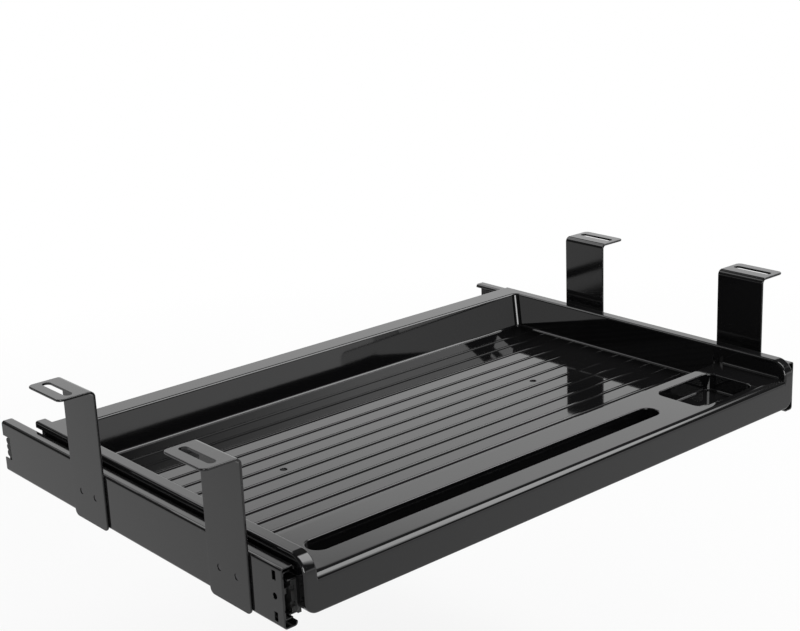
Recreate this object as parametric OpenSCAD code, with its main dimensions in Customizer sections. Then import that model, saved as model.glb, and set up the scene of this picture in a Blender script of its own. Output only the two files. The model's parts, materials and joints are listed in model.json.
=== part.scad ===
// Pull-out keyboard tray that hangs under a desk on two ball bearing slides.
// Millimetres. X runs to the right, Y to the back and Z up.
// The origin is the middle of the four fixing slots, on the underside of the desk.

/* [Tray] */
// Width of the tray over its side rims
tray_w = 550; // [440:1:640]
// Depth of the tray from its front face to its back edge
tray_d = 360; // [340:1:380]
// Height of the tray from its lower edge to its rim
tray_h = 44; // [42:0.5:50]
// Front face of the tray ahead of the middle of the fixing slots
tray_front = 166; // [160:1:172]
// Wall thickness of the moulding
tray_t = 3; // [2:0.1:3.4]
// Width of the side rims
side_rim_w = 11.5; // [10:0.5:20]
// Width of the back rim
back_rim_w = 23; // [18:0.5:32]
// Radius of the front ends of the side rims
rim_end_r = 15; // [4:0.5:15]
// Radius of the lower corners of the front face
front_corner_r = 10; // [4:0.5:14]
// Width of the lug behind the rear left corner
lug_w = 10.5; // [6:0.5:14]
// Length of the lug behind the back edge
lug_l = 12; // [6:0.5:18]
// Height of the lug
lug_h = 5.5; // [3:0.5:8]

/* [Keyboard well] */
// Depth of the well below the rim
well_depth = 33; // [28:0.5:34]
// Lean of each side wall over the depth of the well
side_lean = 3; // [1:0.5:4]
// Lean of the back wall over the depth of the well
back_lean = 7; // [2:0.5:10]
// Corner radius of the well
well_r = 6; // [4:0.5:10]
// Distance between the ridges across the floor
ridge_pitch = 20; // [14:1:30]
// First ridge behind the front face
ridge_y = 87.2; // [86:0.2:96]
// Width of a ridge
ridge_w = 5.6; // [3:0.2:8]
// Height of a ridge
ridge_h = 0.5; // [0.2:0.1:0.8]
// Gap between a ridge's end and the side wall
ridge_end = 4; // [2:0.5:10]
// Diameter of the two floor holes
floor_hole_d = 6; // [4:0.5:8]
// Distance between the two floor holes
floor_hole_pitch = 292; // [200:1:340]
// Floor holes behind the front face
floor_hole_y = 197.5; // [150:0.5:240]

/* [Front ledge] */
// Drop from the rim to the ledge
ledge_drop = 15.5; // [12:0.5:18]
// Depth of the ledge from the front face to the well
ledge_d = 73.5; // [66:0.5:80]
// Radius of the ledge's front edge
ledge_edge_r = 6; // [2:0.5:8]
// Length of the pen slot
pen_l = 373; // [200:1:380]
// Width of the pen slot
pen_w = 20; // [14:0.5:24]
// Depth of the pen slot
pen_depth = 15; // [8:0.5:17]
// Pen slot in from the tray's left edge
pen_inset = 31; // [25:0.5:50]
// Ledge in front of the pen slot
pen_front = 27; // [18:0.5:34]
// Length of the pocket
pocket_w = 74; // [40:0.5:80]
// Width of the pocket
pocket_d = 51; // [40:0.5:52]
// Depth of the pocket
pocket_depth = 15; // [8:0.5:17]
// Pocket in from the tray's right edge
pocket_inset = 42; // [25:0.5:50]
// Ledge in front of the pocket
pocket_front = 11; // [10:0.5:15]
// Corner radius of the pocket
pocket_r = 9; // [3:0.5:14]

/* [Underside of the tray] */
// Thickness of the stiffening ribs
rib_t = 2; // [1.2:0.1:3]
// Gap from the lower edge of the tray up to the ribs
rib_gap = 3; // [1:0.5:4]
// Distance between the ribs that run front to back
rib_pitch = 130; // [80:1:160]

/* [Slides] */
// Length of the slides
slide_l = 400; // [370:1:420]
// Height of the slides
slide_h = 45.7; // [43:0.1:52]
// Thickness of a slide from its bracket to the tray
slide_t = 12.7; // [12.7:0.1:14]
// Thickness of the slide's steel
rail_t = 1.2; // [1:0.05:1.3]
// Bend radius of the outer rail
rail_r = 2.6; // [2:0.1:3.2]
// Middle line of the slides below the rim of the tray
slide_drop = 29.2; // [27:0.1:32]
// Front end of the slides behind the tray's front face
slide_inset = 9; // [6:0.5:14]
// Travel of the tray
travel = 400; // [300:1:400]
// Diameter of the bearing balls
ball_d = 3.5; // [3.2:0.05:3.7]
// Gap between a ball and each race
ball_gap = 0.075; // [0.05:0.005:0.1]
// Balls in each row
balls = 8; // [4:1:9]
// Distance between balls in a row
ball_pitch = 20; // [14:0.5:21]
// Thickness of the ball cages
cage_t = 1.2; // [0.8:0.1:1.6]
// Width of the ball cages
cage_w = 5; // [4.4:0.1:5.2]
// Front hole and slots behind the slide's front end
front_hole_y = 8.7; // [7:0.1:12]
// Diameter of the outer rail's front hole
front_hole_d = 4.8; // [4:0.1:6]
// Width of the slots above and below the front hole
front_slot_w = 4; // [3:0.5:5]
// Height of the slots above and below the front hole
front_slot_h = 7; // [4:0.5:7]
// Slots above and below the slide's middle line
front_slot_off = 15.5; // [13:0.1:15.6]
// Depth of the notch in the outer rail's rear end
notch_d = 12; // [8:0.5:14]
// Height of the notch in the outer rail's rear end
notch_h = 20; // [12:0.5:24]
// Length of the rear buffer
buffer_l = 11.5; // [8:0.5:13]
// Length of the front buffer
front_buffer_l = 8; // [5:0.5:12]

/* [Release levers] */
// Thickness of a lever
lever_t = 2.5; // [1.8:0.1:2.8]
// Height of a lever
lever_h = 7; // [5:0.5:8]
// Length of a lever ahead of its pivot
lever_l = 80; // [60:1:84]
// Diameter of a lever's pivot stud
pivot_d = 4; // [3:0.5:5]

/* [Brackets] */
// Drop from the desk to the rim of the tray
rim_drop = 64; // [40:1:100]
// Width of a bracket
bracket_w = 50; // [48:1:60]
// Thickness of a bracket's steel
bracket_t = 2; // [1.5:0.1:3]
// Length of a bracket's flange
flange_l = 31.5; // [29:0.5:45]
// Plate below the middle line of the slide
bracket_below = 24.8; // [22:0.2:30]
// Distance between the front and rear brackets
bracket_pitch = 192; // [180:1:200]
// Inner bend radius of a bracket
bend_r = 3; // [1:0.5:4]
// Radius of a bracket's corners
bracket_r = 5; // [2:0.5:8]
// Length of a fixing slot from end to end
slot_l = 40; // [24:1:42]
// Width of a fixing slot
slot_w = 7; // [5:0.5:8]
// Middle of a fixing slot in from the flange's outer edge
slot_in = 12.7; // [9:0.1:13]

/* [Screws] */
// Thread diameter of the bracket screws
bracket_screw_d = 5; // [4:0.5:6]
// Head diameter of the bracket screws
bracket_head_d = 9; // [8:0.5:12]
// Head height of the bracket screws
bracket_head_h = 1.3; // [1:0.1:1.3]
// Distance between the two screws of a bracket
bracket_screw_pitch = 21; // [18:0.5:30]
// Thread diameter of the tray screws
tray_screw_d = 3.8; // [3:0.1:4.5]
// Length of the tray screws under their heads
tray_screw_l = 9; // [6:0.5:10]
// Head diameter of the tray screws
tray_head_d = 7.8; // [6:0.2:9]
// Head height of the tray screws
tray_head_h = 1.5; // [1:0.1:2]
// First tray screw behind the tray's front face
tray_screw_y = 34; // [26:1:36]
// Distance between tray screws
tray_screw_pitch = 96; // [90:1:98]

/* [Hidden] */
$fn = 48;

// Small clearances, and how far a cut runs past the face that it opens
gap = 0.3;
thread_gap = 0.05;
hole_gap = 0.2;
cut = 1;

// Thickness of a layer in a hull, and the flat that is left on a full round end
sliver = 0.01;

// Depth of the cross recess in a screw's head, and how far a bracket screw's end stays back
recess_depth = 0.6;
screw_end_back = 0.5;

// Levels of the tray
rim_z = -rim_drop;
tray_bottom = rim_z - tray_h;
ledge_z = rim_z - ledge_drop;
floor_z = rim_z - well_depth;
slide_z = rim_z - slide_drop;

// Outline of the tray seen from above
tray_x = tray_w / 2;
front_y = -tray_front;
back_y = front_y + tray_d;
opening_x = tray_x - side_rim_w;
floor_x = opening_x - side_lean;
opening_back_y = back_y - back_rim_w;
floor_back_y = opening_back_y - back_lean;
well_front_y = front_y + ledge_d;
floor_d = floor_back_y - well_front_y;
lug_r = 2;
last_ridge = floor((floor_back_y - well_r - ridge_w / 2 - front_y - ridge_y) / ridge_pitch);

// Depths inside a slide, measured from its bracket towards the tray
web_out = rail_t;
lip_end = slide_t - rail_t;
head_gap = 0.4;
web_gap = 0.5;
middle_web = web_out + bracket_head_h + head_gap;
middle_end = lip_end - rail_t - gap;
inner_flange = middle_web + rail_t + web_gap;
ball_depth = (inner_flange + middle_end) / 2;
inner_web = slide_t - rail_t;

// Corners of the middle and inner rails, outside and inside the bend
outer_corner_r = 1.4;
inner_corner_r = 0.4;

// Heights inside a slide, measured from its middle line
race_gap = ball_d + 2 * ball_gap;
lip_z = slide_h / 2 - rail_t;
middle_z = lip_z - race_gap;
inner_z = middle_z - rail_t - race_gap;
outer_ball_z = lip_z - race_gap / 2;
inner_ball_z = inner_z + race_gap / 2;

// Ends of the slide parts, front to back, and how far each stays inside the one around it
middle_back = 3;
buffer_in = 2.5;
inner_in = 2;
rail_front = front_y + slide_inset;
rail_rear = rail_front + slide_l;
middle_front = rail_front + middle_back;
buffer_rear = rail_rear - buffer_in;
buffer_front = buffer_rear - buffer_l;
middle_rear = buffer_front - gap;
inner_rear = middle_rear - inner_in;
cage_end = 4.2;
cage_l = (balls - 1) * ball_pitch + ball_d + 2 * cage_end;
// Each cage moves at the mean speed of its two rails, so it starts behind the middle
cage_mid = (middle_front + middle_rear) / 2;

// Catch on the middle rail, and the lever's hook that stops just behind it
catch_t = rail_t;
catch_l = 3;
catch_low = 1.5;
catch_h = 4.5;
hook_front = middle_front + travel / 2 + catch_t + gap;
hook_l = 6;
hook_gap = 1;
hook_over_catch = 0.7;
hook_to_pivot = 24;
pivot_y = hook_front + hook_to_pivot;
lever_depth = inner_web - 2 * gap - lever_t;
lever_eye = 3;
stud_head_t = 0.7;
stud_lip = 1;

// Fixings
bracket_x = tray_x + slide_t;
bracket_ys = [-bracket_pitch / 2, bracket_pitch / 2];
bracket_screw_offsets = [-bracket_screw_pitch / 2, bracket_screw_pitch / 2];
tray_screw_ys = [for (i = [0, 1, 3]) front_y + tray_screw_y + i * tray_screw_pitch];
boss_t = 2.5;
boss_r = tray_screw_d / 2 + boss_t;

black_plastic = [0.06, 0.06, 0.065];
black_steel = [0.1, 0.1, 0.105];
dark_rubber = [0.15, 0.15, 0.15];
bare_steel = [0.72, 0.73, 0.75];
grey_plastic = [0.35, 0.36, 0.37];

// Extrudes an outline given as (x, z) from y0 to y1
module along_y(y0, y1)
    translate([0, y1, 0]) rotate([90, 0, 0]) linear_extrude(y1 - y0) children();

// Extrudes an outline given as (y, z) from x0 to x1
module along_x(x0, x1)
    translate([x0, 0, 0]) rotate([90, 0, 90]) linear_extrude(x1 - x0) children();

// Extrudes an outline given as (x, y) from z0 to z1
module along_z(z0, z1)
    translate([0, 0, z0]) linear_extrude(z1 - z0) children();

// Box between two corners
module box(low, high)
    translate(low) cube(high - low);

// Cylinder along X from x0 to x1
module rod(x0, x1, y, z, r)
    translate([x0, y, z]) rotate([0, 90, 0]) cylinder(h = x1 - x0, r = r);

// Rectangle with round corners between two corners
module round_rect(low, high, r) {
    translate([low[0] + r, low[1]])
        square([high[0] - low[0] - 2 * r, high[1] - low[1]]);
    translate([low[0], low[1] + r])
        square([high[0] - low[0], high[1] - low[1] - 2 * r]);
    for (x = [low[0] + r, high[0] - r], y = [low[1] + r, high[1] - r])
        translate([x, y]) circle(r);
}

// What a round edge takes off a square corner, with the corner at the origin
module edge_waste(r)
    difference() {
        translate([-cut, -cut]) square(r + cut);
        translate([r, r]) circle(r);
    }

// Space of the well, with its leaning walls moved outwards by grow
module well_space(grow, top)
    hull() {
        along_z(floor_z - grow, floor_z - grow + sliver)
            round_rect(
                [-floor_x - grow, well_front_y - grow],
                [floor_x + grow, floor_back_y + grow], well_r + grow, $fn = 32);
        along_z(top, top + sliver)
            round_rect(
                [-opening_x - grow, well_front_y - grow],
                [opening_x + grow, opening_back_y + grow], well_r + grow, $fn = 32);
    }

// Outline of the pen slot, grown outwards
module pen_outline(grow)
    round_rect(
        [-tray_x + pen_inset - grow, front_y + pen_front - grow],
        [-tray_x + pen_inset + pen_l + grow, front_y + pen_front + pen_w + grow],
        pen_w / 2 + grow - sliver);

// Outline of the pocket, grown outwards
module pocket_outline(grow)
    round_rect(
        [tray_x - pocket_inset - pocket_w - grow, front_y + pocket_front - grow],
        [tray_x - pocket_inset + grow, front_y + pocket_front + pocket_d + grow],
        pocket_r + grow);

// Block of the tray with its outer edges rounded
module tray_block() {
    difference() {
        box([-tray_x, front_y, tray_bottom], [tray_x, back_y, rim_z]);
        along_x(-tray_x - cut, tray_x + cut)
            translate([front_y, rim_z]) mirror([0, 1]) edge_waste(rim_end_r);
        along_x(-opening_x, opening_x)
            translate([front_y, ledge_z]) mirror([0, 1]) edge_waste(ledge_edge_r);
        for (side = [0, 1]) mirror([side, 0, 0])
            along_y(front_y - cut, front_y + front_corner_r)
                translate([-tray_x, tray_bottom]) edge_waste(front_corner_r);
    }
    along_z(rim_z - lug_h, rim_z)
        round_rect([-tray_x, back_y - lug_w], [-tray_x + lug_w, back_y + lug_l], lug_r);
}

// Low round ridges across the floor of the well
module floor_ridges() {
    arc_r = (ridge_w * ridge_w / 4 + ridge_h * ridge_h) / (2 * ridge_h);
    for (i = [0 : last_ridge])
        along_x(-floor_x + ridge_end, floor_x - ridge_end)
            translate([front_y + ridge_y + i * ridge_pitch, floor_z])
                intersection() {
                    translate([0, ridge_h - arc_r]) circle(arc_r, $fn = 96);
                    translate([-ridge_w, -ridge_h]) square([2 * ridge_w, 3 * ridge_h]);
                }
}

// Ribs under the floor and the ledge
module ribs() {
    rib_z = tray_bottom + rib_gap;
    rib_count = floor((floor_x - rib_t) / rib_pitch);
    floor_middle = well_front_y + floor_d / 2;
    for (i = [-rib_count : rib_count])
        box([i * rib_pitch - rib_t / 2, front_y + tray_t / 2, rib_z],
            [i * rib_pitch + rib_t / 2, back_y - tray_t / 2, rim_z - tray_t / 2]);
    box([-floor_x, floor_middle - rib_t / 2, rib_z],
        [floor_x, floor_middle + rib_t / 2, floor_z - tray_t / 2]);
}

// Bosses that take the tray screws, on both sides
module screw_bosses()
    for (side = [0, 1], y = tray_screw_ys) mirror([side, 0, 0])
        rod(-tray_x + tray_t / 2, -opening_x + tray_t, y, slide_z, boss_r);

// Hollow underside of the moulding
module underside_space()
    difference() {
        box([-tray_x + tray_t, front_y + tray_t, tray_bottom - cut],
            [tray_x - tray_t, back_y - tray_t, rim_z - tray_t]);
        well_space(tray_t, rim_z);
        box([-opening_x - tray_t, front_y, ledge_z - tray_t],
            [opening_x + tray_t, well_front_y, rim_z]);
        along_z(ledge_z - pen_depth - tray_t, rim_z) pen_outline(tray_t);
        along_z(ledge_z - pocket_depth - tray_t, rim_z) pocket_outline(tray_t);
        along_x(-tray_x, tray_x)
            translate([front_y + tray_t, rim_z - tray_t])
                mirror([0, 1]) edge_waste(rim_end_r - tray_t);
        ribs();
        screw_bosses();
    }

module tray()
    color(black_plastic) difference() {
        union() {
            difference() {
                tray_block();
                well_space(0, rim_z);
                box([-opening_x, front_y - cut, ledge_z],
                    [opening_x, well_front_y + well_r, rim_z + cut]);
            }
            floor_ridges();
        }
        along_z(ledge_z - pen_depth, rim_z) pen_outline(0);
        along_z(ledge_z - pocket_depth, rim_z) pocket_outline(0);
        for (side = [-1, 1])
            translate([side * floor_hole_pitch / 2, front_y + floor_hole_y, floor_z - tray_t - cut])
                cylinder(h = tray_t + 2 * cut, d = floor_hole_d);
        underside_space();
        for (side = [0, 1], y = tray_screw_ys) mirror([side, 0, 0])
            rod(-tray_x - cut, -tray_x + tray_screw_l - rail_t + gap, y, slide_z,
                tray_screw_d / 2 + thread_gap);
    }

// Bracket with its middle at the given y, on the right-hand side
module bracket(y) {
    flange_end = bracket_x + flange_l;
    bend = bend_r + bracket_t;
    plate_low = slide_z - bracket_below;
    low_y = y - bracket_w / 2;
    high_y = y + bracket_w / 2;
    color(black_steel) {
        difference() {
            along_x(bracket_x, bracket_x + bracket_t) {
                round_rect([low_y, plate_low], [high_y, -bend - bracket_r], bracket_r);
                translate([low_y, plate_low + bracket_r])
                    square([bracket_w, -bend - plate_low - bracket_r]);
            }
            for (offset_y = bracket_screw_offsets)
                rod(bracket_x - cut, bracket_x + bracket_t + cut, y + offset_y, slide_z,
                    bracket_screw_d / 2 + thread_gap);
        }
        along_y(low_y, high_y)
            intersection() {
                translate([bracket_x + bend, -bend]) difference() {
                    circle(bend);
                    circle(bend_r);
                }
                translate([bracket_x, -bend]) square(bend);
            }
        difference() {
            along_z(-bracket_t, 0) {
                translate([bracket_x + bend, low_y])
                    square([flange_l - bend - bracket_r, bracket_w]);
                round_rect([bracket_x + bend, low_y], [flange_end, high_y], bracket_r);
            }
            along_z(-bracket_t - cut, cut)
                round_rect(
                    [flange_end - slot_in - slot_w / 2, y - slot_l / 2],
                    [flange_end - slot_in + slot_w / 2, y + slot_l / 2], slot_w / 2 - sliver);
        }
    }
}

module front_right_bracket() bracket(bracket_ys[0]);
module rear_right_bracket() bracket(bracket_ys[1]);
module front_left_bracket() mirror([1, 0, 0]) bracket(bracket_ys[0]);
module rear_left_bracket() mirror([1, 0, 0]) bracket(bracket_ys[1]);

// Turns slide coordinates into the right-hand slide:
// the first coordinate is the depth from the bracket, the second y, the third from the middle line
module right_slide()
    translate([bracket_x, 0, slide_z]) mirror([1, 0, 0]) children();

// The left-hand slide is the same slide on the other side
module left_slide()
    mirror([1, 0, 0]) right_slide() children();

// The same parts upside down, as a slide is when it is turned to the other side
module upside_down()
    mirror([0, 0, 1]) children();

// Cross recess in a screw's head, which faces along +X at the given depth
module cross_recess(depth, size)
    for (turn = [0, 90])
        translate([depth, 0, 0]) rotate([turn, 0, 0])
            cube([2 * recess_depth, size, size / 5], center = true);

module bracket_screws()
    color(black_steel) for (y = bracket_ys, offset_y = bracket_screw_offsets)
        translate([0, y + offset_y, 0]) difference() {
            union() {
                rod(-bracket_t + screw_end_back, web_out + bracket_head_h / 2, 0, 0, bracket_screw_d / 2);
                rod(web_out, web_out + bracket_head_h, 0, 0, bracket_head_d / 2);
            }
            cross_recess(web_out + bracket_head_h, bracket_screw_d);
        }

module left_bracket_screws() left_slide() bracket_screws();
module right_bracket_screws() right_slide() bracket_screws();

// Outline of the outer rail: a channel whose lips curl round the balls
module outer_rail_outline()
    difference() {
        round_rect([0, -slide_h / 2], [lip_end, slide_h / 2], rail_r);
        round_rect([rail_t, -lip_z], [lip_end - rail_t, lip_z], rail_r - rail_t);
        translate([lip_end - rail_t - cut, -middle_z - rail_t])
            square([rail_t + 2 * cut, 2 * (middle_z + rail_t)]);
    }

module outer_rail()
    color(black_steel) difference() {
        along_y(rail_front, rail_rear) outer_rail_outline();
        rod(-cut, rail_t + cut, rail_front + front_hole_y, 0, front_hole_d / 2);
        for (side = [-1, 1])
            translate([-cut, rail_front + front_hole_y - front_slot_w / 2,
                side * front_slot_off - front_slot_h / 2])
                cube([rail_t + 2 * cut, front_slot_w, front_slot_h]);
        for (y = bracket_ys, offset_y = bracket_screw_offsets)
            rod(-cut, rail_t + cut, y + offset_y, 0, bracket_screw_d / 2 + hole_gap);
        box([-cut, rail_rear - notch_d, -notch_h / 2], [rail_t + cut, rail_rear + cut, notch_h / 2]);
    }

module left_outer_rail() left_slide() outer_rail();
module right_outer_rail() right_slide() outer_rail();

// Buffer in the rear end of the outer rail, with a wavy rear face
module rear_buffer() {
    wave_r = 3;
    wave_pitch = 5.6;
    color(dark_rubber) {
        along_y(buffer_front, buffer_rear - wave_r)
            round_rect(
                [rail_t, -lip_z + thread_gap], [middle_end - gap, lip_z - thread_gap],
                rail_r - rail_t + thread_gap);
        for (wave = [-1, 0, 1])
            rod(rail_t, middle_end - gap, buffer_rear - wave_r, wave * wave_pitch, wave_r);
    }
}

module left_rear_buffer() left_slide() rear_buffer();
module right_rear_buffer() right_slide() rear_buffer();

// Place of each ball in a row
ball_ys = [for (i = [0 : balls - 1]) cage_mid + (i - (balls - 1) / 2) * ball_pitch];

// Two strips that hold the upper and lower rows of balls
module ball_cage(row_z)
    color(grey_plastic) for (side = [-1, 1])
        difference() {
            translate([ball_depth - cage_w / 2, cage_mid - cage_l / 2, side * row_z - cage_t / 2])
                cube([cage_w, cage_l, cage_t]);
            for (y = ball_ys)
                translate([ball_depth, y, side * row_z - cage_t])
                    cylinder(h = 2 * cage_t, d = ball_d + hole_gap);
        }

module left_outer_ball_cage() left_slide() ball_cage(outer_ball_z);
module right_outer_ball_cage() right_slide() ball_cage(outer_ball_z);
module left_inner_ball_cage() left_slide() ball_cage(inner_ball_z);
module right_inner_ball_cage() right_slide() ball_cage(inner_ball_z);

module ball_rows(row_z)
    color(bare_steel) for (side = [-1, 1], y = ball_ys)
        translate([ball_depth, y, side * row_z]) sphere(d = ball_d);

module left_outer_balls() left_slide() ball_rows(outer_ball_z);
module right_outer_balls() right_slide() ball_rows(outer_ball_z);
module left_inner_balls() left_slide() ball_rows(inner_ball_z);
module right_inner_balls() right_slide() ball_rows(inner_ball_z);

// Middle rail: a channel between the two rows of balls, with a catch for the lever
module middle_rail()
    color(black_steel) {
        along_y(middle_front, middle_rear) difference() {
            round_rect([middle_web, -middle_z], [middle_end + rail_r, middle_z], outer_corner_r);
            round_rect(
                [middle_web + rail_t, -middle_z + rail_t],
                [middle_end + 2 * rail_r, middle_z - rail_t], inner_corner_r);
            translate([middle_end, -middle_z - cut]) square([2 * rail_r, 2 * middle_z + 2 * cut]);
        }
        box([middle_web, middle_front, catch_low],
            [middle_web + rail_t + catch_l, middle_front + catch_t, catch_low + catch_h]);
    }

module left_middle_rail() left_slide() middle_rail();
module right_middle_rail() right_slide() upside_down() middle_rail();

// Inner rail: a channel screwed to the tray's side, with the stud of the release lever
module inner_rail()
    color(black_steel) difference() {
        union() {
            along_y(rail_front, inner_rear) difference() {
                round_rect([inner_flange - rail_r, -inner_z], [slide_t, inner_z], outer_corner_r);
                round_rect(
                    [inner_flange - 2 * rail_r, -inner_z + rail_t],
                    [inner_web, inner_z - rail_t], inner_corner_r);
                translate([inner_flange - 2 * rail_r, -inner_z - cut])
                    square([2 * rail_r, 2 * inner_z + 2 * cut]);
            }
            rod(lever_depth - 2 * gap, inner_web + rail_t / 2, pivot_y, 0, pivot_d / 2);
            rod(lever_depth - gap - stud_head_t, lever_depth - gap, pivot_y, 0, pivot_d / 2 + stud_lip);
        }
        for (y = tray_screw_ys)
            rod(inner_web - cut, slide_t + cut, y, 0, tray_screw_d / 2 + hole_gap);
    }

module left_inner_rail() left_slide() inner_rail();
module right_inner_rail() right_slide() inner_rail();

// Buffer pressed into the front end of the inner rail
module front_buffer() {
    buffer_z = inner_z - rail_t - thread_gap;
    dent_r = 2;
    dent_wall = 1;
    color(dark_rubber) difference() {
        along_y(rail_front, rail_front + front_buffer_l)
            round_rect(
                [middle_web + rail_t + catch_l + gap, -buffer_z], [inner_web, buffer_z],
                inner_corner_r + thread_gap);
        for (side = [-1, 1])
            rod(middle_web, inner_web - dent_wall, rail_front, side * buffer_z / 2, dent_r);
    }
}

module left_front_buffer() left_slide() front_buffer();
module right_front_buffer() right_slide() front_buffer();

// Release lever: a bar on the inner rail's stud, with a hook and a thumb pad
module release_lever() {
    lever_front = pivot_y - lever_l;
    color(dark_rubber) difference() {
        union() {
            along_x(lever_depth, lever_depth + lever_t) {
                round_rect([lever_front, -lever_h / 2], [pivot_y, lever_h / 2], lever_h / 2 - sliver);
                translate([pivot_y, 0]) circle(pivot_d / 2 + lever_eye);
            }
            box([middle_web + rail_t + hook_gap, hook_front, -lever_h / 2],
                [lever_depth + lever_t / 2, hook_front + hook_l, catch_low + hook_over_catch]);
        }
        rod(lever_depth - cut, lever_depth + lever_t + cut, pivot_y, 0, pivot_d / 2 + thread_gap);
    }
}

module left_release_lever() left_slide() release_lever();
module right_release_lever() right_slide() upside_down() release_lever();

module tray_screws()
    color(bare_steel) for (y = tray_screw_ys)
        translate([0, y, 0]) difference() {
            union() {
                rod(inner_web - tray_head_h / 2, inner_web + tray_screw_l, 0, 0, tray_screw_d / 2);
                rod(inner_web - tray_head_h, inner_web, 0, 0, tray_head_d / 2);
            }
            cross_recess(inner_web - tray_head_h, tray_screw_d);
        }

module left_tray_screws() left_slide() tray_screws();
module right_tray_screws() right_slide() tray_screws();

tray();
front_left_bracket();
rear_left_bracket();
front_right_bracket();
rear_right_bracket();
left_bracket_screws();
right_bracket_screws();
left_outer_rail();
right_outer_rail();
left_rear_buffer();
right_rear_buffer();
left_outer_ball_cage();
right_outer_ball_cage();
left_outer_balls();
right_outer_balls();
left_middle_rail();
right_middle_rail();
left_inner_ball_cage();
right_inner_ball_cage();
left_inner_balls();
right_inner_balls();
left_inner_rail();
right_inner_rail();
left_front_buffer();
right_front_buffer();
left_release_lever();
right_release_lever();
left_tray_screws();
right_tray_screws();
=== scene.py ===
import json
import math

import bmesh
import bpy
from bpy.props import FloatProperty, FloatVectorProperty, PointerProperty
from mathutils import Matrix, Vector


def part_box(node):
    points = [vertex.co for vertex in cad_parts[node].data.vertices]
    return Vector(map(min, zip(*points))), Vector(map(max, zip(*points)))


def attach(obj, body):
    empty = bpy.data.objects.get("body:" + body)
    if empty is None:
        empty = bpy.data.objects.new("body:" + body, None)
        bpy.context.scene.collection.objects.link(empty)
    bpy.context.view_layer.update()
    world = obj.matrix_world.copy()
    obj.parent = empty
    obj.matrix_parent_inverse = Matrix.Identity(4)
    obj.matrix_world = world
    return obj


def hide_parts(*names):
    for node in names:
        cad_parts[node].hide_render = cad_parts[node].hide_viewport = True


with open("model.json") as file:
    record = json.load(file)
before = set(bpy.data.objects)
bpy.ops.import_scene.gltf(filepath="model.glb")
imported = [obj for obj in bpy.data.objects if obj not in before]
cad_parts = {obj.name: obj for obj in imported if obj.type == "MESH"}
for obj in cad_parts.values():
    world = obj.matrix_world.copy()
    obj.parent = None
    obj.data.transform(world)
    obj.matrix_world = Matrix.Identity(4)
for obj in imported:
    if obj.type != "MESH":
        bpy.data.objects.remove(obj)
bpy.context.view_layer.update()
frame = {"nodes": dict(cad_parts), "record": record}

bl_info = {
    "name": "Under-desk keyboard tray",
    "version": (1, 0, 0),
    "blender": (4, 5, 0),
    "location": "View3D > Sidebar > Keyboard Tray",
    "description": "Finishes the pieces of a pull-out keyboard tray and lights them",
    "category": "Object",
}

MM = 0.001
SIDES = ("left", "right")
TRAY_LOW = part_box("tray")[0]

# Levels of the tray, from the record's openings, whose boxes stand a little over the floors
OPENINGS = {entry["name"]: entry["box_m"] for entry in frame["record"]["physics"]["openings"]}
RIM_Z = OPENINGS["keyboard_well"][1][2]
LEDGE_Z = OPENINGS["pen_slot"][1][2]
FLOOR_Z = OPENINGS["keyboard_well"][0][2] - 0.8 * MM
SLOT_FLOOR_Z = OPENINGS["pen_slot"][0][2] - 0.3 * MM

# Radius of the rims' front ends and half the width between the rims
RIM_END = 15 * MM
OPENING_X = 263.5 * MM
# Back of the ledge, and how far to each side its back edge runs straight
WELL_FRONT_Y = -92.5 * MM
WELL_STRAIGHT = 250 * MM
# Front and back end of the fillet between the ledge and the side walls
FOOT_FRONT_Y = -158 * MM
FOOT_BACK_Y = -98 * MM
# How far below the ledge the inner walls' front edges are cut, so that their rounding stops there
BELOW_LEDGE = 1 * MM

# How far the pen slot and the pocket lie within the ledge's outline at least
WITHIN = 5 * MM
# Longest straight step round the two floor holes, and the least metal round a bracket's hole
HOLE_STEP = 1 * MM
HOLE_MARGIN = 2 * MM

# Two places are taken as one within this distance
NEAR = 0.02 * MM
# Corners of a CAD mesh are joined within this distance, and faces that turn by less become one
JOINED = 2e-6
FLAT = math.radians(0.5)
# Edges that turn by more than this are rounded, and other edges over the second angle stay crisp
SHARP = math.radians(28)
CRISP = math.radians(14)
# Least share of an upright edge's length that is height, and of a square face's normal that
# points along its axis
UPRIGHT = 0.9
SQUARE = 0.99
# A corner this close to a cut is taken to lie on it
ON_CUT = 1e-7


class TrayShape(bpy.types.PropertyGroup):
    """Roundings of the moulded tray"""
    rim_round: FloatProperty(
        name="Rim rounding", description="Radius of the edges along the rim",
        default=1.9 * MM, min=0.2 * MM, max=2 * MM, unit="LENGTH", subtype="DISTANCE")
    ledge_round: FloatProperty(
        name="Ledge rounding",
        description="Radius of the edges round the pen slot, the pocket and the well",
        default=1.0 * MM, min=0.2 * MM, max=1.5 * MM, unit="LENGTH", subtype="DISTANCE")
    floor_fillet: FloatProperty(
        name="Floor fillet", description="Radius where the floors meet the walls",
        default=1.8 * MM, min=0.5 * MM, max=3 * MM, unit="LENGTH", subtype="DISTANCE")
    hole_round: FloatProperty(
        name="Hole rounding", description="Radius of the edges of the two floor holes",
        default=0.4 * MM, min=0.1 * MM, max=0.8 * MM, unit="LENGTH", subtype="DISTANCE")


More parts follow.
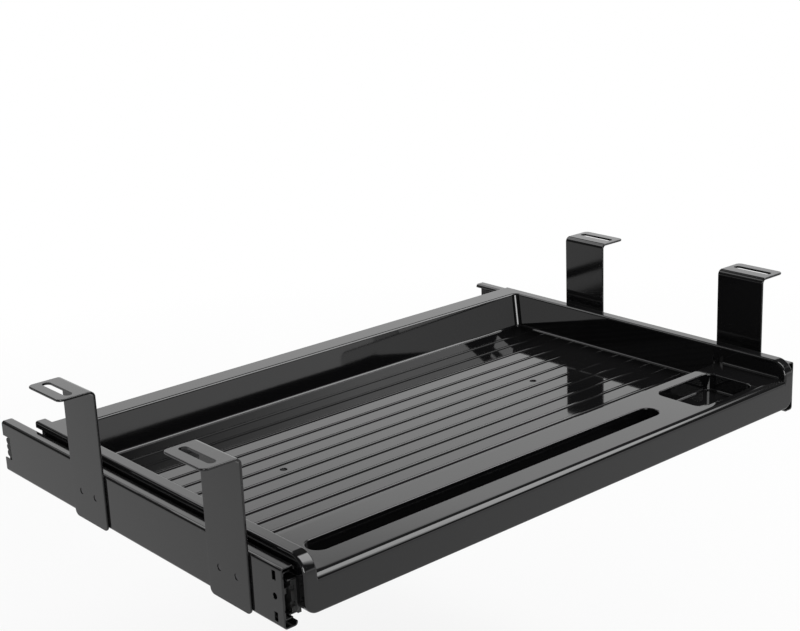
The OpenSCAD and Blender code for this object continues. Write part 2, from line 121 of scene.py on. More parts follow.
class SteelShape(bpy.types.PropertyGroup):
    """Roundings of the brackets, the slides and their small pieces"""
    bracket_round: FloatProperty(
        name="Bracket edge", description="Width of the brackets' rounded sheet edges",
        default=0.75 * MM, min=0.1 * MM, max=0.9 * MM, unit="LENGTH", subtype="DISTANCE")
    hole_round: FloatProperty(
        name="Bracket hole edge", description="Width of the rounded edges of the brackets' holes",
        default=0.2 * MM, min=0.05 * MM, max=0.5 * MM, unit="LENGTH", subtype="DISTANCE")
    rail_round: FloatProperty(
        name="Rail edge", description="Width of the rails' rounded sheet edges",
        default=0.25 * MM, min=0.05 * MM, max=0.5 * MM, unit="LENGTH", subtype="DISTANCE")
    screw_round: FloatProperty(
        name="Screw edge", description="Width of the rounded edges on the screws",
        default=0.2 * MM, min=0.05 * MM, max=0.4 * MM, unit="LENGTH", subtype="DISTANCE")
    soft_round: FloatProperty(
        name="Buffer and lever edge",
        description="Width of the rounded edges on moulded small pieces",
        default=0.35 * MM, min=0.1 * MM, max=0.8 * MM, unit="LENGTH", subtype="DISTANCE")
    cage_round: FloatProperty(
        name="Cage edge", description="Width of the rounded edges on the ball cages",
        default=0.15 * MM, min=0.05 * MM, max=0.4 * MM, unit="LENGTH", subtype="DISTANCE")


def colour(name, description, default):
    """A colour property of the finishes."""
    return FloatVectorProperty(
        name=name, description=description, default=default, size=3, min=0, max=1,
        subtype="COLOR")


class Finishes(bpy.types.PropertyGroup):
    """Colours of the pieces"""
    tray_colour: colour("Tray", "Colour of the moulded tray", (0.0042, 0.0042, 0.0045))
    bracket_colour: colour("Brackets", "Colour of the painted brackets", (0.0060, 0.0060, 0.0063))
    rail_colour: colour("Rails", "Colour of the coated rails", (0.0065, 0.0065, 0.0068))
    steel_colour: colour("Tray screws", "Colour of the zinc plated screws", (0.42, 0.42, 0.44))
    # Near-black bracket screws: the colour is painted shade, standing for the shade inside their
    # recessed holes
    screw_shade_colour: colour(
        "Bracket screws", "Colour of the black plated screws", (0.016, 0.016, 0.017))
    ball_colour: colour("Balls", "Colour of the bearing balls", (0.62, 0.62, 0.64))
    rubber_colour: colour("Buffers", "Colour of the rubber buffers", (0.012, 0.012, 0.012))
    cage_colour: colour("Ball cages", "Colour of the ball cages", (0.11, 0.112, 0.118))
    lever_colour: colour("Levers", "Colour of the release levers", (0.010, 0.010, 0.011))
    dust_colour: colour("Dust", "Colour of fine dust and scratches", (0.20, 0.19, 0.18))


class StudioSettings(bpy.types.PropertyGroup):
    """Camera and floor of the studio"""
    camera_place: FloatVectorProperty(
        name="Camera", description="Place of the camera",
        default=(-0.8119, -0.9078, 0.381), size=3, unit="LENGTH", subtype="TRANSLATION")
    camera_azimuth: FloatProperty(
        name="Azimuth", description="Side that the camera looks from, seen from above",
        default=math.radians(-40.34), unit="ROTATION", subtype="ANGLE")
    camera_elevation: FloatProperty(
        name="Elevation", description="Height of the camera's line of sight over the horizon",
        default=math.radians(17.0), unit="ROTATION", subtype="ANGLE")
    camera_roll: FloatProperty(
        name="Roll", description="Turn of the camera about its line of sight",
        default=math.radians(-2.42), unit="ROTATION", subtype="ANGLE")
    lens: FloatProperty(
        name="Lens", description="Focal length on a 36 mm sensor", default=68.0, min=20, max=200,
        unit="CAMERA")
    floor_drop: FloatProperty(
        name="Floor below",
        description="Distance from the tray's lower edge down to the studio floor",
        default=0.28, min=0.0, max=1.0, unit="LENGTH", subtype="DISTANCE")


# Node groups


def group_tree(name, inputs, outputs):
    """A new shader node group with float inputs and outputs, and its input and output nodes."""
    tree = bpy.data.node_groups.new(name, "ShaderNodeTree")
    for label, kind, default in inputs:
        socket = tree.interface.new_socket(label, in_out="INPUT", socket_type=kind)
        socket.default_value = default
    for label, kind in outputs:
        tree.interface.new_socket(label, in_out="OUTPUT", socket_type=kind)
    return tree, tree.nodes.new("NodeGroupInput"), tree.nodes.new("NodeGroupOutput")


def maths(tree, operation, first, second=None, third=None):
    """A Math node; each input is a number or the socket that feeds it."""
    node = tree.nodes.new("ShaderNodeMath")
    node.operation = operation
    for index, value in enumerate((first, second, third)):
        if value is None:
            continue
        if isinstance(value, (int, float)):
            node.inputs[index].default_value = value
        else:
            tree.links.new(value, node.inputs[index])
    return node.outputs[0]


def remap(tree, value, low, high, new_low=0.0, new_high=1.0):
    """Carries a value from one range to another and clamps it to the new one."""
    node = tree.nodes.new("ShaderNodeMapRange")
    node.clamp = True
    tree.links.new(value, node.inputs["Value"])
    for label, number in (
            ("From Min", low), ("From Max", high), ("To Min", new_low), ("To Max", new_high)):
        node.inputs[label].default_value = number
    return node.outputs["Result"]


def object_mapping(tree, scale=(1, 1, 1), turn=(0, 0, 0)):
    """Object coordinates, stretched and turned."""
    place = tree.nodes.new("ShaderNodeTexCoord")
    mapping = tree.nodes.new("ShaderNodeMapping")
    mapping.inputs["Scale"].default_value = scale
    mapping.inputs["Rotation"].default_value = turn
    tree.links.new(place.outputs["Object"], mapping.inputs["Vector"])
    return mapping.outputs["Vector"]


def noise(tree, vector, scale, detail=2.0, roughness=0.5):
    """A Noise Texture; its scale is a number or the socket that feeds it."""
    node = tree.nodes.new("ShaderNodeTexNoise")
    node.inputs["Detail"].default_value = detail
    node.inputs["Roughness"].default_value = roughness
    tree.links.new(vector, node.inputs["Vector"])
    if isinstance(scale, (int, float)):
        node.inputs["Scale"].default_value = scale
    else:
        tree.links.new(scale, node.inputs["Scale"])
    return node.outputs["Fac"]


def orange_peel_group():
    """Slow waviness of a moulded or painted surface, as a height."""
    tree, given, result = group_tree(
        "Orange peel",
        (("Scale", "NodeSocketFloat", 260.0), ("Wave", "NodeSocketFloat", 0.4)),
        (("Height", "NodeSocketFloat"),))
    vector = object_mapping(tree)
    fine = noise(tree, vector, given.outputs["Scale"], detail=1.5, roughness=0.4)
    broad = noise(tree, vector, 14.0, detail=1.0)
    height = maths(tree, "MULTIPLY_ADD", broad, given.outputs["Wave"], fine)
    tree.links.new(height, result.inputs["Height"])
    return tree


def scratch_group():
    """Thin scratches in three directions, as a mask that is 1 in a scratch."""
    tree, given, result = group_tree(
        "Fine scratches",
        (("Scale", "NodeSocketFloat", 60.0), ("Amount", "NodeSocketFloat", 0.5)),
        (("Mask", "NodeSocketFloat"),))
    total = None
    for turn, stretch in ((0.35, 0.02), (-0.55, 0.03), (1.35, 0.025)):
        vector = object_mapping(tree, scale=(stretch, 1.0, 1.0), turn=(0, 0, turn))
        scale = maths(tree, "MULTIPLY", given.outputs["Scale"], 9.0)
        line = noise(tree, vector, scale, detail=1.0)
        ridge = maths(tree, "ABSOLUTE", maths(tree, "SUBTRACT", line, 0.5))
        thin = remap(tree, ridge, 0.0, 0.006, 1.0, 0.0)
        patches = noise(tree, object_mapping(tree, turn=(0.3, 0.2, turn)), 22.0)
        spread = remap(tree, patches, 0.52, 0.68)
        mask = maths(tree, "MULTIPLY", thin, spread)
        total = mask if total is None else maths(tree, "MAXIMUM", total, mask)
    tree.links.new(maths(tree, "MULTIPLY", total, given.outputs["Amount"]), result.inputs["Mask"])
    return tree


def dust_group():
    """Fine dust that settles on faces that look upwards, as a mask."""
    tree, given, result = group_tree(
        "Settled dust",
        (("Amount", "NodeSocketFloat", 0.2), ("Speck size", "NodeSocketFloat", 900.0)),
        (("Mask", "NodeSocketFloat"),))
    place = tree.nodes.new("ShaderNodeTexCoord")
    split = tree.nodes.new("ShaderNodeSeparateXYZ")
    tree.links.new(place.outputs["Normal"], split.inputs["Vector"])
    upwards = remap(tree, split.outputs["Z"], 0.3, 0.95)
    vector = object_mapping(tree)
    specks = remap(tree, noise(tree, vector, given.outputs["Speck size"], detail=1.0), 0.66, 0.74)
    film = remap(tree, noise(tree, vector, 9.0, detail=3.0), 0.35, 0.75, 0.0, 0.35)
    cover = maths(tree, "MULTIPLY", maths(tree, "MAXIMUM", specks, film), upwards)
    tree.links.new(maths(tree, "MULTIPLY", cover, given.outputs["Amount"]), result.inputs["Mask"])
    return tree


def edge_wear_and_highlight_group():
    """Handling marks and a painted highlight along the rounded edges, from the edge attribute,
    broken up by noise, as a mask.
    """
    tree, given, result = group_tree(
        "Edge wear",
        (("Amount", "NodeSocketFloat", 0.5),),
        (("Mask", "NodeSocketFloat"),))
    edge = tree.nodes.new("ShaderNodeAttribute")
    edge.attribute_type = "GEOMETRY"
    edge.attribute_name = "edge"
    patches = noise(tree, object_mapping(tree), 70.0, detail=4.0, roughness=0.65)
    broken = remap(tree, patches, 0.4, 0.62)
    mask = maths(tree, "MULTIPLY", edge.outputs["Fac"], broken)
    tree.links.new(maths(tree, "MULTIPLY", mask, given.outputs["Amount"]), result.inputs["Mask"])
    return tree


EFFECT_MAKERS = {
    "Orange peel": orange_peel_group, "Fine scratches": scratch_group,
    "Settled dust": dust_group, "Edge wear": edge_wear_and_highlight_group}
EFFECTS = {}


def effect(tree, name, **values):
    """Places a shared group in a material and sets its inputs."""
    if name not in EFFECTS:
        EFFECTS[name] = EFFECT_MAKERS[name]()
    node = tree.nodes.new("ShaderNodeGroup")
    node.node_tree = EFFECTS[name]
    for label, value in values.items():
        node.inputs[label.replace("_", " ")].default_value = value
    return node.outputs[0]


# Materials


def new_shader(name):
    """A material with a bare Principled shader; returns the material, its tree and the shader."""
    material = bpy.data.materials.new(name)
    material.use_nodes = True
    tree = material.node_tree
    return material, tree, tree.nodes["Principled BSDF"]


def tint(tree, base, over, mask):
    """Mixes two colours by a mask; either colour may be a tuple or a socket."""
    mix = tree.nodes.new("ShaderNodeMix")
    mix.data_type = "RGBA"
    tree.links.new(mask, mix.inputs["Factor"])
    for label, value in (("A", base), ("B", over)):
        socket = [s for s in mix.inputs if s.name == label and s.type == "RGBA"][0]
        if isinstance(value, bpy.types.NodeSocket):
            tree.links.new(value, socket)
        else:
            socket.default_value = (*value, 1)
    return [s for s in mix.outputs if s.type == "RGBA"][0]


def mix_shaders(tree, share, first, second):
    """Mixes two shaders; the share is the second one's."""
    mix = tree.nodes.new("ShaderNodeMixShader")
    for index, source in enumerate((share, first, second)):
        tree.links.new(source, mix.inputs[index])
    return mix.outputs["Shader"]


def bump(tree, shader, height, strength, distance):
    """Feeds a height into the shader's normal."""
    node = tree.nodes.new("ShaderNodeBump")
    node.inputs["Strength"].default_value = strength
    node.inputs["Distance"].default_value = distance
    tree.links.new(height, node.inputs["Height"])
    tree.links.new(node.outputs["Normal"], shader.inputs["Normal"])


def shade_of(colour_name):
    """A colour of the finishes, as a tuple."""
    return tuple(getattr(bpy.context.scene.tray_finishes, colour_name))


def scaled(shade, times):
    """A lighter or darker shade, at most white."""
    return tuple(min(1.0, times * channel) for channel in shade)


def gloss_black(name, base, roughness, peel, scratches, dust_amount, wear):
    """Gloss black skin with orange peel, hairline scratches, a little dust, and rounded edges made
    lighter, partly by handling marks and partly as a painted highlight.
    """
    dust = shade_of("dust_colour")
    material, tree, shader = new_shader(name)
    scratch = effect(tree, "Fine scratches", Scale=60.0, Amount=scratches)
    settled = effect(tree, "Settled dust", Amount=dust_amount, Speck_size=900.0)
    worn_and_highlit = effect(tree, "Edge wear", Amount=wear)
    marks = maths(tree, "MAXIMUM", maths(tree, "MULTIPLY", scratch, 0.25), settled)
    cloudy = noise(tree, object_mapping(tree), 3.0, detail=2.0)
    shade = tint(tree, base, scaled(base, 1.35), cloudy)
    shade = tint(tree, shade, dust, maths(tree, "MULTIPLY", marks, 0.35))
    # Lighter rounded edges: partly handling marks, partly a painted highlight along the edges
    shade = tint(tree, shade, scaled(base, 6), worn_and_highlit)
    tree.links.new(shade, shader.inputs["Base Color"])
    rough = remap(tree, cloudy, 0.3, 0.7, roughness * 0.85, roughness * 1.2)
    rough = maths(tree, "ADD", rough, maths(tree, "MULTIPLY", scratch, 0.12))
    rough = maths(tree, "ADD", rough, maths(tree, "MULTIPLY", settled, 0.10))
    rough = maths(tree, "ADD", rough, maths(tree, "MULTIPLY", worn_and_highlit, 0.15))
    tree.links.new(rough, shader.inputs["Roughness"])
    height = effect(tree, "Orange peel", Scale=peel, Wave=0.4)
    bump(tree, shader, height, strength=0.02, distance=0.1 * MM)
    shader.inputs["IOR"].default_value = 1.56
    return material


def satin_plastic(name, base, roughness, grain):
    """Satin moulded plastic or rubber with a fine grain."""
    dust = shade_of("dust_colour")
    material, tree, shader = new_shader(name)
    grainy = noise(tree, object_mapping(tree), grain, detail=3.0, roughness=0.6)
    settled = effect(tree, "Settled dust", Amount=0.3, Speck_size=1200.0)
    worn_and_highlit = effect(tree, "Edge wear", Amount=0.5)
    shade = tint(tree, base, scaled(base, 1.5), grainy)
    shade = tint(tree, shade, dust, maths(tree, "MULTIPLY", settled, 0.4))
    # Lighter rounded edges: partly handling marks, partly a painted highlight along the edges
    shade = tint(tree, shade, scaled(base, 2.5), worn_and_highlit)
    tree.links.new(shade, shader.inputs["Base Color"])
    rough = remap(tree, grainy, 0.3, 0.7, roughness * 0.9, roughness * 1.1)
    tree.links.new(rough, shader.inputs["Roughness"])
    bump(tree, shader, grainy, strength=0.12, distance=0.1 * MM)
    shader.inputs["IOR"].default_value = 1.5
    return material


def plated_steel(name, base, roughness, brushed):
    """Plated or polished steel with fine turning marks and light smears of grease."""
    material, tree, shader = new_shader(name)
    lines = noise(tree, object_mapping(tree, scale=(brushed, 1, 1)), 700.0, detail=2.0)
    smear = noise(tree, object_mapping(tree), 35.0, detail=3.0)
    worn_and_highlit = effect(tree, "Edge wear", Amount=0.4)
    shade = tint(tree, scaled(base, 0.82), base, smear)
    # Lighter rounded edges: partly handling marks, partly a painted highlight along the edges
    shade = tint(tree, shade, scaled(base, 1.25), worn_and_highlit)
    tree.links.new(shade, shader.inputs["Base Color"])
    brushing = remap(tree, lines, 0.3, 0.7, roughness * 0.8, roughness * 1.2)
    grease = remap(tree, smear, 0.4, 0.7, 0.0, 0.08)
    rough = maths(tree, "ADD", brushing, grease)
    tree.links.new(rough, shader.inputs["Roughness"])
    shader.inputs["Metallic"].default_value = 1.0
    bump(tree, shader, lines, strength=0.06, distance=0.05 * MM)
    return material


# How each slot of the record is finished: the maker, the material's name, its colour in the
# finishes, and the maker's own values
SLOT_FINISHES = {
    "tray_plastic": (gloss_black, "Gloss black plastic", "tray_colour", {
        "roughness": 0.045, "peel": 210.0, "scratches": 0.35, "dust_amount": 0.10, "wear": 0.3}),
    "bracket_paint": (gloss_black, "Black bracket paint", "bracket_colour", {
        "roughness": 0.10, "peel": 420.0, "scratches": 0.4, "dust_amount": 0.12, "wear": 0.5}),
    "rail_paint": (gloss_black, "Black rail coating", "rail_colour", {
        "roughness": 0.07, "peel": 520.0, "scratches": 0.5, "dust_amount": 0.12, "wear": 0.6}),
    # Near-black bracket screws: the colour is painted shade, standing for the shade inside their
    # recessed holes
    "screw_black": (gloss_black, "Black plated steel", "screw_shade_colour", {
        "roughness": 0.22, "peel": 600.0, "scratches": 0.4, "dust_amount": 0.1, "wear": 0.6}),
    "screw_steel": (plated_steel, "Plated steel", "steel_colour", {
        "roughness": 0.28, "brushed": 0.3}),
    "ball_steel": (plated_steel, "Polished steel", "ball_colour", {
        "roughness": 0.12, "brushed": 1.0}),
    "buffer_rubber": (satin_plastic, "Black rubber", "rubber_colour", {
        "roughness": 0.55, "grain": 1400.0}),
    "cage_plastic": (satin_plastic, "Grey cage plastic", "cage_colour", {
        "roughness": 0.42, "grain": 1800.0}),
    "lever_plastic": (satin_plastic, "Black lever plastic", "lever_colour", {
        "roughness": 0.35, "grain": 1600.0}),
}
MATERIALS = {}


def finish_for(slot):
    """The material of a record slot, made once."""
    if slot not in MATERIALS:
        make, name, colour_name, values = SLOT_FINISHES[slot]
        MATERIALS[slot] = make(name, shade_of(colour_name), **values)
    return MATERIALS[slot]


SLOTS = {entry["node"]: entry["material_slot"] for entry in frame["record"]["subparts"]}
BODIES = {
    node: body for body, nodes in frame["record"]["behaviour"]["bodies"].items() for node in nodes}


# Meshes


def merged_copy(node):
    """A CAD node's mesh with its loose triangles joined and its flat faces made whole.

    The layer of the edges' weights is made first, because making it later would lose hold of the
    edges that were looked up before.
    """
    bm = bmesh.new()
    bm.from_mesh(frame["nodes"][node].data)
    bm.edges.layers.float.new("bevel_weight_edge")
    bmesh.ops.remove_doubles(bm, verts=bm.verts, dist=JOINED)
    bmesh.ops.dissolve_limit(
        bm, angle_limit=FLAT, verts=bm.verts, edges=bm.edges, delimit={"NORMAL"})
    return bm


def place_piece(node, bm, rounding, segments=3):
    """Turns a bmesh into the piece that stands for a node and rides its body.

    rounding gives the radius in metres of each edge that is rounded. The faces of the rounded
    edges carry the attribute "edge", which the finishes read to lighten the edges: partly handling
    marks, partly a painted highlight.
    """
    widest = max(rounding.values(), default=0.0)
    weight = bm.edges.layers.float["bevel_weight_edge"]
    for edge in bm.edges:
        radius = rounding.get(edge, 0.0)
        edge[weight] = radius / widest if widest else 0.0
        if edge.is_manifold and edge.calc_face_angle(0) > CRISP and not radius:
            edge.smooth = False
    for face in bm.faces:
        face.smooth = True
    name = node + "_finish"
    mesh = bpy.data.meshes.new(name)
    bm.to_mesh(mesh)
    bm.free()
    mesh.materials.clear()
    mesh.materials.append(finish_for(SLOTS[node]))
    piece = bpy.data.objects.new(name, mesh)
    bpy.context.scene.collection.objects.link(piece)
    if widest:
        round_edges(piece, widest, segments)
    normals = piece.modifiers.new("Flat faces stay flat", "WEIGHTED_NORMAL")
    normals.keep_sharp = True
    normals.weight = 100
    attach(piece, BODIES[node])
    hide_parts(node)
    return piece


def round_edges(piece, widest, segments):
    """Rounds the weighted edges and marks the new faces with the attribute "edge"."""
    mesh = piece.data
    mesh.materials.append(mesh.materials[0])
    bevel = piece.modifiers.new("Rounded edges", "BEVEL")
    bevel.limit_method = "WEIGHT"
    bevel.width = widest
    bevel.segments = segments
    bevel.profile = 0.5
    bevel.use_clamp_overlap = False
    bevel.miter_outer = "MITER_ARC"
    bevel.material = 1
    evaluated = piece.evaluated_get(bpy.context.evaluated_depsgraph_get())
    rounded = bpy.data.meshes.new_from_object(evaluated)
    piece.modifiers.clear()
    piece.data = rounded
    edge = rounded.attributes.new("edge", "FLOAT", "FACE")
    for face in rounded.polygons:
        edge.data[face.index].value = float(face.material_index == 1)
        face.material_index = 0
    rounded.materials.pop(index=1)
    rounded.name = mesh.name
    bpy.data.meshes.remove(mesh)


def sharp_edges(bm):
    """The edges that are rounded."""
    return [edge for edge in bm.edges if edge.is_manifold and edge.calc_face_angle(0) > SHARP]


def at_level(edge, level):
    """True for an edge that lies in a level."""
    return all(abs(vertex.co.z - level) < NEAR for vertex in edge.verts)


def middle(edge):
    """The middle of an edge."""
    return (edge.verts[0].co + edge.verts[1].co) / 2


def upright(edge):
    """True for an edge that stands nearly upright."""
    low, high = sorted(vertex.co.z for vertex in edge.verts)
    return high - low > UPRIGHT * edge.calc_length()


def run_out(bm):
    """Cuts flat faces where a rounded edge ends, so that the rounding stops on a straight edge."""
    def cut(faces, place, normal):
        edges = {edge for face in faces for edge in face.edges}
        corners = {vertex for face in faces for vertex in face.verts}
        bmesh.ops.bisect_plane(
            bm, geom=[*faces, *edges, *corners], dist=ON_CUT, plane_co=place, plane_no=normal)

    def on_inner_wall(face):
        place = face.calc_center_median()
        at_opening = abs(abs(place.x) - OPENING_X) < NEAR and place.z > LEDGE_Z - RIM_END
        return abs(face.normal.x) > SQUARE and at_opening

    def on_ledge(face):
        return face.normal.z > SQUARE and abs(face.calc_center_median().z - LEDGE_Z) < NEAR

    inner_walls = [face for face in bm.faces if on_inner_wall(face)]
    cut(inner_walls, (0, 0, LEDGE_Z - BELOW_LEDGE), (0, 0, 1))
    for side in (-1, 1):
        ledge = [face for face in bm.faces if on_ledge(face)]
        cut(ledge, (side * WELL_STRAIGHT, 0, 0), (1, 0, 0))
    for end in (FOOT_FRONT_Y, FOOT_BACK_Y):
        beside = [face for face in bm.faces if on_ledge(face) or on_inner_wall(face)]
        cut(beside, (0, end, 0), (0, 1, 0))


def tray_rounding(bm, shape):
    """Radius of each sharp edge that shows on the moulded tray, by where it lies."""
    radii = {}
    for edge in sharp_edges(bm):
        place = middle(edge)
        outer_front = place.y - TRAY_LOW.y < NEAR
        if not edge.is_convex:
            if at_level(edge, FLOOR_Z) or at_level(edge, SLOT_FLOOR_Z):
                radii[edge] = shape.floor_fillet
            elif at_level(edge, LEDGE_Z) and FOOT_FRONT_Y < place.y < FOOT_BACK_Y:
                radii[edge] = shape.floor_fillet
        elif at_level(edge, RIM_Z):
            radii[edge] = shape.rim_round
        elif at_level(edge, LEDGE_Z):
            on_ledge = place.y < WELL_FRONT_Y - WITHIN and abs(place.x) < OPENING_X - WITHIN
            if on_ledge or abs(place.x) < WELL_STRAIGHT:
                radii[edge] = shape.ledge_round
        elif at_level(edge, FLOOR_Z):
            if edge.calc_length() < HOLE_STEP:
                radii[edge] = shape.hole_round
        elif outer_front:
            below_ledge = place.z <= LEDGE_Z - BELOW_LEDGE
            if not (upright(edge) and below_ledge and abs(place.x) < OPENING_X + NEAR):
                radii[edge] = shape.rim_round
        elif place.y < TRAY_LOW.y + RIM_END and place.z > RIM_Z - RIM_END:
            radii[edge] = shape.rim_round
    return radii


def place_rounded(node, radius, segments):
    """Turns a node into its piece, with the same radius on every sharp edge."""
    bm = merged_copy(node)
    place_piece(node, bm, {edge: radius for edge in sharp_edges(bm)}, segments)


# Pieces


class TRAY_OT_moulding(bpy.types.Operator):
    """Makes the moulded tray with rounded edges and filleted floors"""
    bl_idname = "keyboard_tray.moulding"
    bl_label = "Tray moulding"

    def execute(self, context):
        bm = merged_copy("tray")
        run_out(bm)
        place_piece("tray", bm, tray_rounding(bm, context.scene.tray_shape), segments=4)
        return {"FINISHED"}


def at_a_hole(edge, node):
    """True for an edge that lies well inside the outline of a bracket's plate or flange."""
    low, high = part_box(node)
    place = middle(edge)
    outer_x = max(abs(low.x), abs(high.x))
    return (low.y + HOLE_MARGIN < place.y < high.y - HOLE_MARGIN
            and place.z > low.z + HOLE_MARGIN and abs(place.x) < outer_x - HOLE_MARGIN)


class TRAY_OT_brackets(bpy.types.Operator):
    """Makes the four bent mounting brackets with rounded sheet edges"""
    bl_idname = "keyboard_tray.brackets"
    bl_label = "Mounting brackets"

    def execute(self, context):
        shape = context.scene.tray_steel
        for end in ("front", "rear"):
            for side in SIDES:
                node = f"{end}_{side}_bracket"
                bm = merged_copy(node)
                radii = {
                    edge: shape.hole_round if at_a_hole(edge, node) else shape.bracket_round
                    for edge in sharp_edges(bm)}
                place_piece(node, bm, radii, segments=4)
        return {"FINISHED"}


class TRAY_OT_rails(bpy.types.Operator):
    """Makes the outer, middle and inner rails of both slides"""
    bl_idname = "keyboard_tray.rails"
    bl_label = "Slide rails"

    def execute(self, context):
        radius = context.scene.tray_steel.rail_round
        for side in SIDES:
            for rail in ("outer", "middle", "inner"):
                place_rounded(f"{side}_{rail}_rail", radius, segments=2)
        return {"FINISHED"}


class TRAY_OT_balls(bpy.types.Operator):
    """Makes the bearing balls and their cages"""
    bl_idname = "keyboard_tray.balls"
    bl_label = "Balls and cages"

    def execute(self, context):
        radius = context.scene.tray_steel.cage_round
        for side in SIDES:
            for row in ("outer", "inner"):
                place_rounded(f"{side}_{row}_ball_cage", radius, segments=2)
                balls = f"{side}_{row}_balls"
                place_piece(balls, merged_copy(balls), {})
        return {"FINISHED"}


class TRAY_OT_screws(bpy.types.Operator):
    """Makes the screws of the brackets and of the tray"""
    bl_idname = "keyboard_tray.screws"
    bl_label = "Screws"

    def execute(self, context):
        radius = context.scene.tray_steel.screw_round
        for side in SIDES:
            for use in ("bracket", "tray"):
                place_rounded(f"{side}_{use}_screws", radius, segments=2)
        return {"FINISHED"}


class TRAY_OT_stops(bpy.types.Operator):
    """Makes the rubber buffers and the release levers"""
    bl_idname = "keyboard_tray.stops"
    bl_label = "Buffers and levers"

    def execute(self, context):
        radius = context.scene.tray_steel.soft_round
        for side in SIDES:
            for part in ("rear_buffer", "front_buffer", "release_lever"):
                place_rounded(f"{side}_{part}", radius, segments=3)
        return {"FINISHED"}


# Studio


class TRAY_OT_studio(bpy.types.Operator):
    """Makes the floor, the soft light, the world and the camera"""
    bl_idname = "keyboard_tray.studio"
    bl_label = "Studio"

    def execute(self, context):
        settings = context.scene.tray_studio
        make_floor(settings)
        make_world()
        make_light()
        make_camera(settings)
        return {"FINISHED"}


# Floor: half its width, its grey and roughness, from where to where its own shade gives way to
# the white backdrop and how much of the white shows at its middle, and how reflections see it
FLOOR_SIZE = 30.0
FLOOR_GREY = (0.88, 0.88, 0.88, 1)
FLOOR_ROUGHNESS = 0.9
FADE_FROM, FADE_TO = 0.5, 1.6
WHITE_AT_MIDDLE = 0.86
REFLECTED_WHITE, REFLECTED_SHARE = 0.64, 0.8

# World: its strength for diffuse light, and what reflections see of it, a dark room with soft
# panels. Each panel has its bearings and heights from and to in degrees, with the softness of
# their ends, the slant of its heights along the bearing, and its brightness.
AMBIENT = 0.5
DARK_ROOM = 0.08
PANELS = (
    ("key", (82, 138, 6), (89, 170, 2), 0.47, 5.0),
    ("backdrop", (-14, 118, 4), (-90, 27, 3), 0, 1.08),
    ("rear", (-40, 26, 6), (35, 50, 4), 0, 2.2),
    ("right front", (122, 170, 6), (-90, 5, 3), 0, 1.0),
    ("left front", (-152, -128, 3), (-3, 24, 2), 0, 9.0),
)

# The one lamp: its place, its aim, its size and its power
SOFTBOX_PLACE = Vector((0.95, -0.45, 1.15))
SOFTBOX_AIM = Vector((0, 0, -0.08))
SOFTBOX_SIZE = (1.2, 0.5)
SOFTBOX_POWER = 18


def make_floor(settings):
    """Pale floor that keeps the soft shadow and fades into the white backdrop.

    Its underside is clear for the camera, so that the tray can be looked at from below.
    """
    bm = bmesh.new()
    bmesh.ops.create_grid(bm, x_segments=1, y_segments=1, size=FLOOR_SIZE)
    bmesh.ops.translate(bm, verts=bm.verts, vec=(0, 0, TRAY_LOW.z - settings.floor_drop))
    mesh = bpy.data.meshes.new("studio_floor")
    bm.to_mesh(mesh)
    bm.free()
    material, tree, shader = new_shader("Pale floor")
    shader.inputs["Base Color"].default_value = FLOOR_GREY
    shader.inputs["Roughness"].default_value = FLOOR_ROUGHNESS
    place = tree.nodes.new("ShaderNodeTexCoord")
    length = tree.nodes.new("ShaderNodeVectorMath")
    length.operation = "LENGTH"
    tree.links.new(place.outputs["Object"], length.inputs[0])
    path = tree.nodes.new("ShaderNodeLightPath")
    by_camera, by_gloss = path.outputs["Is Camera Ray"], path.outputs["Is Glossy Ray"]

    white = tree.nodes.new("ShaderNodeEmission")
    tree.links.new(
        remap(tree, by_gloss, 0.0, 1.0, 1.0, REFLECTED_WHITE), white.inputs["Strength"])
    away = remap(tree, length.outputs["Value"], FADE_FROM, FADE_TO, WHITE_AT_MIDDLE, 1.0)
    share = maths(tree, "MULTIPLY", by_camera, away)
    share = maths(tree, "MULTIPLY_ADD", by_gloss, REFLECTED_SHARE, share)
    above = mix_shaders(tree, share, shader.outputs["BSDF"], white.outputs["Emission"])

    below = tree.nodes.new("ShaderNodeNewGeometry").outputs["Backfacing"]
    clear = tree.nodes.new("ShaderNodeBsdfTransparent")
    surface = mix_shaders(
        tree, maths(tree, "MULTIPLY", by_camera, below), above, clear.outputs["BSDF"])
    tree.links.new(surface, tree.nodes["Material Output"].inputs["Surface"])
    mesh.materials.append(material)
    floor = bpy.data.objects.new("studio_floor", mesh)
    bpy.context.scene.collection.objects.link(floor)


def make_world():
    """White for the camera, plain for the light, and a studio of soft panels in reflections."""
    world = bpy.data.worlds.new("White studio")
    bpy.context.scene.world = world
    world.use_nodes = True
    tree = world.node_tree
    background = tree.nodes["Background"]
    place = tree.nodes.new("ShaderNodeTexCoord")
    split = tree.nodes.new("ShaderNodeSeparateXYZ")
    tree.links.new(place.outputs["Generated"], split.inputs["Vector"])
    height = maths(tree, "ARCSINE", split.outputs["Z"])
    bearing = maths(tree, "ARCTAN2", split.outputs["X"], split.outputs["Y"])

    def between(value, low, high, soft):
        """1 between two angles in degrees, with soft ends."""
        low, high, soft = math.radians(low), math.radians(high), math.radians(soft)
        rise = remap(tree, value, low - soft, low + soft)
        fall = remap(tree, value, high - soft, high + soft, 1.0, 0.0)
        return maths(tree, "MULTIPLY", rise, fall)

    reflected = DARK_ROOM
    for _, bearings, heights, slant, brightness in PANELS:
        along = maths(tree, "MULTIPLY_ADD", bearing, slant, height) if slant else height
        panel = maths(tree, "MULTIPLY", between(bearing, *bearings), between(along, *heights))
        reflected = maths(tree, "MULTIPLY_ADD", panel, brightness, reflected)

    path = tree.nodes.new("ShaderNodeLightPath")
    seen = maths(
        tree, "MAXIMUM", path.outputs["Is Camera Ray"], path.outputs["Is Transmission Ray"])
    strength = tree.nodes.new("ShaderNodeMix")
    strength.data_type = "FLOAT"
    tree.links.new(path.outputs["Is Glossy Ray"], strength.inputs["Factor"])
    tree.links.new(remap(tree, seen, 0.0, 1.0, AMBIENT, 1.0), strength.inputs["A"])
    tree.links.new(reflected, strength.inputs["B"])
    tree.links.new(strength.outputs["Result"], background.inputs["Strength"])
    background.inputs["Color"].default_value = (1, 1, 1, 1)


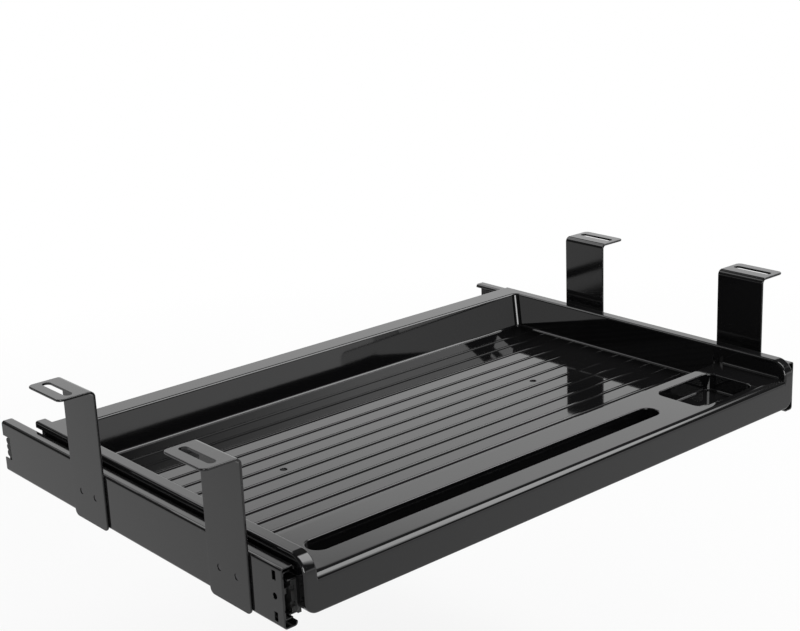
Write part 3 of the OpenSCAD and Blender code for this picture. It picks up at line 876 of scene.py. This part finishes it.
def make_light():
    """One soft lamp overhead, which reflections don't show."""
    lamp = bpy.data.lights.new("Overhead softbox", "AREA")
    lamp.shape = "RECTANGLE"
    lamp.size, lamp.size_y = SOFTBOX_SIZE
    lamp.energy = SOFTBOX_POWER
    light = bpy.data.objects.new("Overhead softbox", lamp)
    light.location = SOFTBOX_PLACE
    light.rotation_mode = "QUATERNION"
    light.rotation_quaternion = (SOFTBOX_AIM - SOFTBOX_PLACE).to_track_quat("-Z", "Y")
    light.visible_glossy = False
    bpy.context.scene.collection.objects.link(light)


def make_camera(settings):
    """The camera, from its place, azimuth, elevation and roll."""
    azimuth, elevation = settings.camera_azimuth, settings.camera_elevation
    back = Vector((
        math.sin(azimuth) * math.cos(elevation), -math.cos(azimuth) * math.cos(elevation),
        math.sin(elevation)))
    lens = bpy.data.cameras.new("Camera")
    lens.lens = settings.lens
    lens.clip_start, lens.clip_end = 0.01, 100
    camera = bpy.data.objects.new("Camera", lens)
    roll = Matrix.Rotation(settings.camera_roll, 3, "Z")
    turn = (-back).to_track_quat("-Z", "Y").to_matrix() @ roll
    camera.matrix_world = Matrix.Translation(settings.camera_place) @ turn.to_4x4()
    bpy.context.scene.collection.objects.link(camera)
    bpy.context.scene.camera = camera
    bpy.context.scene.view_settings.view_transform = "Standard"


# Sidebar


class TRAY_PT_sidebar(bpy.types.Panel):
    """Lists the tray's pieces, sizes and finishes in the sidebar of the 3D view"""
    bl_idname = "TRAY_PT_sidebar"
    bl_label = "Keyboard tray"
    bl_space_type = "VIEW_3D"
    bl_region_type = "UI"
    bl_category = "Keyboard Tray"

    def draw(self, context):
        column = self.layout.column()
        for operator in OPERATORS:
            column.operator(operator.bl_idname)
        for pointer in POINTERS:
            group = getattr(context.scene, pointer)
            column.separator()
            for name in group.__annotations__:
                column.prop(group, name)


OPERATORS = (
    TRAY_OT_studio, TRAY_OT_moulding, TRAY_OT_brackets, TRAY_OT_rails, TRAY_OT_balls,
    TRAY_OT_screws, TRAY_OT_stops)
POINTERS = {
    "tray_shape": TrayShape, "tray_steel": SteelShape, "tray_finishes": Finishes,
    "tray_studio": StudioSettings}


def register():
    for cls in (*POINTERS.values(), *OPERATORS, TRAY_PT_sidebar):
        bpy.utils.register_class(cls)
    for pointer, cls in POINTERS.items():
        setattr(bpy.types.Scene, pointer, PointerProperty(type=cls))


def unregister():
    for pointer in POINTERS:
        delattr(bpy.types.Scene, pointer)
    for cls in reversed((*POINTERS.values(), *OPERATORS, TRAY_PT_sidebar)):
        bpy.utils.unregister_class(cls)


def main():
    register()
    bpy.ops.keyboard_tray.studio()
    bpy.ops.keyboard_tray.moulding()
    bpy.ops.keyboard_tray.brackets()
    bpy.ops.keyboard_tray.rails()
    bpy.ops.keyboard_tray.balls()
    bpy.ops.keyboard_tray.screws()
    bpy.ops.keyboard_tray.stops()


if __name__ == "__main__":
    main()
